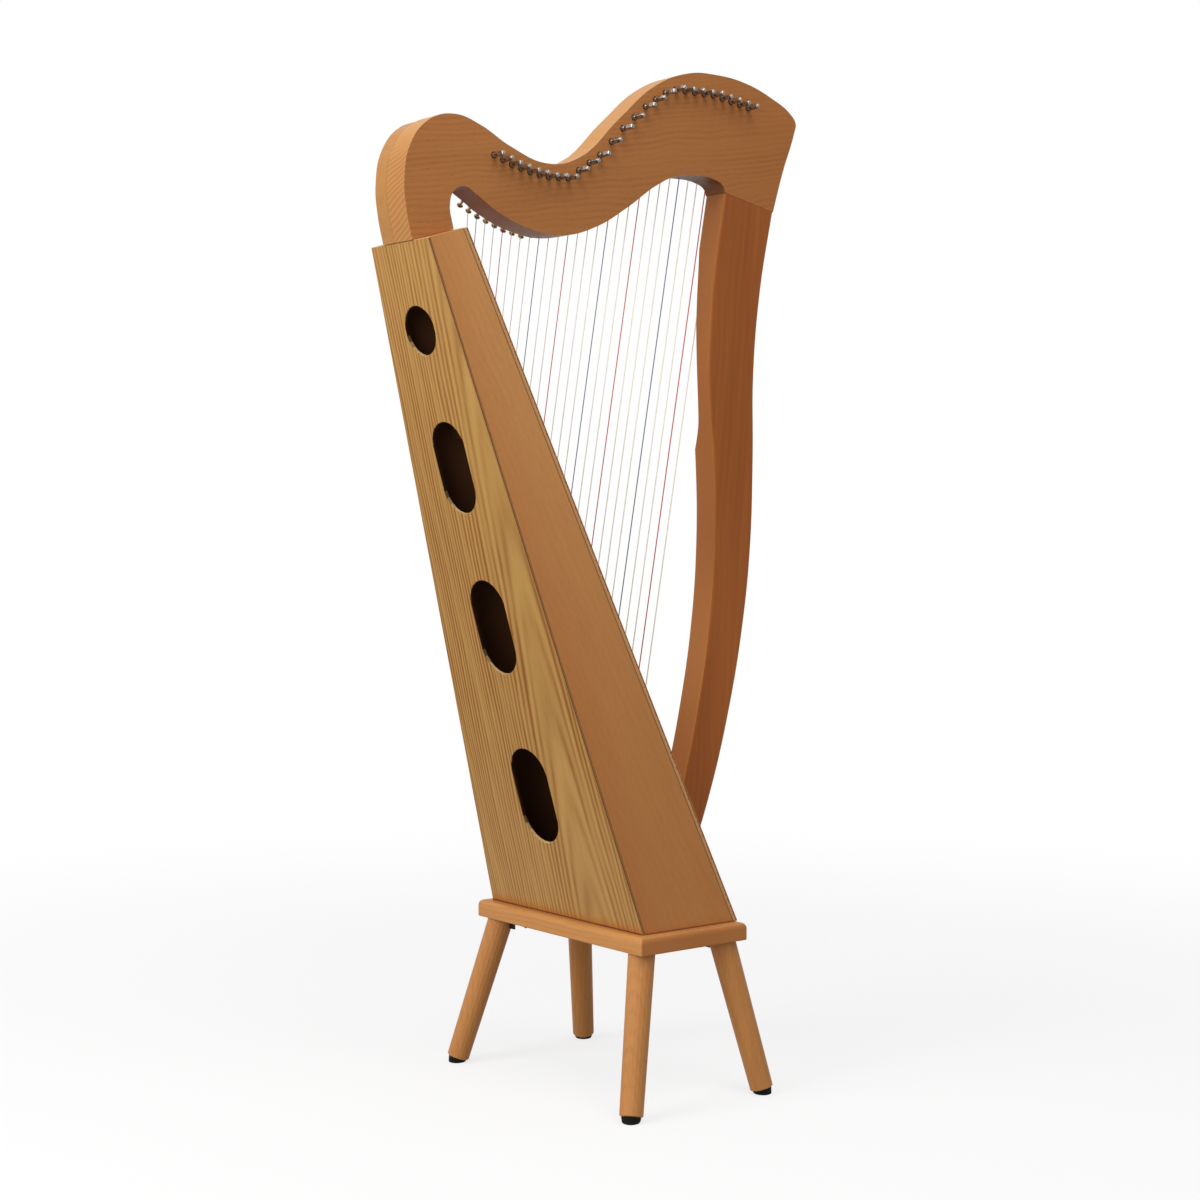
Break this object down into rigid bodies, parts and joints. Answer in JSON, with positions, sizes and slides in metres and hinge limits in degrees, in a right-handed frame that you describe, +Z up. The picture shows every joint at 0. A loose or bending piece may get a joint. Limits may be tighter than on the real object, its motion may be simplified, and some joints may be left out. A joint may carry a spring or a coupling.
{
  "type": "harp",
  "caption": "Small floor harp with a curved neck and pillar, a tapered sound box with sound holes, turning tuning pins and taut strings, standing on a four-legged stool.",
  "frame": {"origin": "on the floor, at the middle of the harp's length and width", "axes": "+X from the sound box towards the pillar, +Y to the player's left, the strings' side of the neck, +Z up"},
  "size_m": [0.5649, 0.3556, 1.1726],
  "materials": {
    "beech": "satin varnish",
    "beech_light": "satin varnish",
    "ash": "satin varnish over figured veneer",
    "ply": "satin varnish",
    "string_nylon": "smooth nylon",
    "brass_pin": "satin",
    "pin_steel": "nickel plated",
    "black_steel": "black zinc",
    "rubber_foot": "matt"
  },
  "bodies": {
    "frame": {"back_panel": "ash", "bottom_block": "beech_light", "brace_lower": "beech_light", "brace_middle": "beech_light", "brace_upper": "beech_light", "bridge_pin_unstrung": "brass_pin", "dowel_inner": "beech_light", "dowel_outer": "beech_light", "foot_front_left": "rubber_foot", "foot_front_right": "rubber_foot", "foot_rear_left": "rubber_foot", "foot_rear_right": "rubber_foot", "inner_string_rib": "beech_light", "leg_front_left": "beech_light", "leg_front_right": "beech_light", "leg_mount_front_left": "black_steel", "leg_mount_front_right": "black_steel", "leg_mount_rear_left": "black_steel", "leg_mount_rear_right": "black_steel", "leg_rear_left": "beech_light", "leg_rear_right": "beech_light", "neck": "beech", "pillar": "beech", "shoulder_block": "beech_light", "side_left": "beech", "side_right": "beech", "soundboard": "ply", "stool_seat": "beech_light", "strings": "string_nylon", "top_block": "beech_light"},
    "pin_01": {"tuning_pin_01": "pin_steel"},
    "pin_02": {"tuning_pin_02": "pin_steel"},
    "pin_03": {"tuning_pin_03": "pin_steel"},
    "pin_04": {"tuning_pin_04": "pin_steel"},
    "pin_05": {"tuning_pin_05": "pin_steel"},
    "pin_06": {"tuning_pin_06": "pin_steel"},
    "pin_07": {"tuning_pin_07": "pin_steel"},
    "pin_08": {"tuning_pin_08": "pin_steel"},
    "pin_09": {"tuning_pin_09": "pin_steel"},
    "pin_10": {"tuning_pin_10": "pin_steel"},
    "pin_11": {"tuning_pin_11": "pin_steel"},
    "pin_12": {"tuning_pin_12": "pin_steel"},
    "pin_13": {"tuning_pin_13": "pin_steel"},
    "pin_14": {"tuning_pin_14": "pin_steel"},
    "pin_15": {"tuning_pin_15": "pin_steel"},
    "pin_16": {"tuning_pin_16": "pin_steel"},
    "pin_17": {"tuning_pin_17": "pin_steel"},
    "pin_18": {"tuning_pin_18": "pin_steel"},
    "pin_19": {"tuning_pin_19": "pin_steel"},
    "pin_20": {"tuning_pin_20": "pin_steel"},
    "pin_21": {"tuning_pin_21": "pin_steel"},
    "pin_22": {"tuning_pin_22": "pin_steel"},
    "pin_23": {"tuning_pin_23": "pin_steel"},
    "pin_24": {"tuning_pin_24": "pin_steel"},
    "pin_25": {"tuning_pin_25": "pin_steel"},
    "pin_26": {"tuning_pin_26": "pin_steel"},
    "pin_27": {"tuning_pin_27": "pin_steel"}
  },
  "joints": [
    {"name": "turn_pin_01", "type": "hinge", "parent": "frame", "child": "pin_01", "pos_m": [-0.1669, 0, 1.0453], "axis": [0, 1, 0], "continuous": true},
    {"name": "turn_pin_02", "type": "hinge", "parent": "frame", "child": "pin_02", "pos_m": [-0.15515, 0, 1.0413], "axis": [0, 1, 0], "continuous": true},
    {"name": "turn_pin_03", "type": "hinge", "parent": "frame", "child": "pin_03", "pos_m": [-0.1434, 0, 1.0373], "axis": [0, 1, 0], "continuous": true},
    {"name": "turn_pin_04", "type": "hinge", "parent": "frame", "child": "pin_04", "pos_m": [-0.13095, 0, 1.03455], "axis": [0, 1, 0], "continuous": true},
    {"name": "turn_pin_05", "type": "hinge", "parent": "frame", "child": "pin_05", "pos_m": [-0.1185, 0, 1.0318], "axis": [0, 1, 0], "continuous": true},
    {"name": "turn_pin_06", "type": "hinge", "parent": "frame", "child": "pin_06", "pos_m": [-0.1059, 0, 1.0304], "axis": [0, 1, 0], "continuous": true},
    {"name": "turn_pin_07", "type": "hinge", "parent": "frame", "child": "pin_07", "pos_m": [-0.0933, 0, 1.029], "axis": [0, 1, 0], "continuous": true},
    {"name": "turn_pin_08", "type": "hinge", "parent": "frame", "child": "pin_08", "pos_m": [-0.07965, 0, 1.02965], "axis": [0, 1, 0], "continuous": true},
    {"name": "turn_pin_09", "type": "hinge", "parent": "frame", "child": "pin_09", "pos_m": [-0.066, 0, 1.0303], "axis": [0, 1, 0], "continuous": true},
    {"name": "turn_pin_10", "type": "hinge", "parent": "frame", "child": "pin_10", "pos_m": [-0.05097, 0, 1.0404], "axis": [0, 1, 0], "continuous": true},
    {"name": "turn_pin_11", "type": "hinge", "parent": "frame", "child": "pin_11", "pos_m": [-0.03593, 0, 1.0505], "axis": [0, 1, 0], "continuous": true},
    {"name": "turn_pin_12", "type": "hinge", "parent": "frame", "child": "pin_12", "pos_m": [-0.0209, 0, 1.0606], "axis": [0, 1, 0], "continuous": true},
    {"name": "turn_pin_13", "type": "hinge", "parent": "frame", "child": "pin_13", "pos_m": [-0.00425, 0, 1.07745], "axis": [0, 1, 0], "continuous": true},
    {"name": "turn_pin_14", "type": "hinge", "parent": "frame", "child": "pin_14", "pos_m": [0.0124, 0, 1.0943], "axis": [0, 1, 0], "continuous": true},
    {"name": "turn_pin_15", "type": "hinge", "parent": "frame", "child": "pin_15", "pos_m": [0.02895, 0, 1.10855], "axis": [0, 1, 0], "continuous": true},
    {"name": "turn_pin_16", "type": "hinge", "parent": "frame", "child": "pin_16", "pos_m": [0.0455, 0, 1.1228], "axis": [0, 1, 0], "continuous": true},
    {"name": "turn_pin_17", "type": "hinge", "parent": "frame", "child": "pin_17", "pos_m": [0.06035, 0, 1.1324], "axis": [0, 1, 0], "continuous": true},
    {"name": "turn_pin_18", "type": "hinge", "parent": "frame", "child": "pin_18", "pos_m": [0.0752, 0, 1.142], "axis": [0, 1, 0], "continuous": true},
    {"name": "turn_pin_19", "type": "hinge", "parent": "frame", "child": "pin_19", "pos_m": [0.0906, 0, 1.1475], "axis": [0, 1, 0], "continuous": true},
    {"name": "turn_pin_20", "type": "hinge", "parent": "frame", "child": "pin_20", "pos_m": [0.1051, 0, 1.14768], "axis": [0, 1, 0], "continuous": true},
    {"name": "turn_pin_21", "type": "hinge", "parent": "frame", "child": "pin_21", "pos_m": [0.1196, 0, 1.14785], "axis": [0, 1, 0], "continuous": true},
    {"name": "turn_pin_22", "type": "hinge", "parent": "frame", "child": "pin_22", "pos_m": [0.1341, 0, 1.14803], "axis": [0, 1, 0], "continuous": true},
    {"name": "turn_pin_23", "type": "hinge", "parent": "frame", "child": "pin_23", "pos_m": [0.1486, 0, 1.1482], "axis": [0, 1, 0], "continuous": true},
    {"name": "turn_pin_24", "type": "hinge", "parent": "frame", "child": "pin_24", "pos_m": [0.16232, 0, 1.1461], "axis": [0, 1, 0], "continuous": true},
    {"name": "turn_pin_25", "type": "hinge", "parent": "frame", "child": "pin_25", "pos_m": [0.17605, 0, 1.144], "axis": [0, 1, 0], "continuous": true},
    {"name": "turn_pin_26", "type": "hinge", "parent": "frame", "child": "pin_26", "pos_m": [0.18977, 0, 1.1419], "axis": [0, 1, 0], "continuous": true},
    {"name": "turn_pin_27", "type": "hinge", "parent": "frame", "child": "pin_27", "pos_m": [0.2035, 0, 1.1398], "axis": [0, 1, 0], "continuous": true}
  ]
}
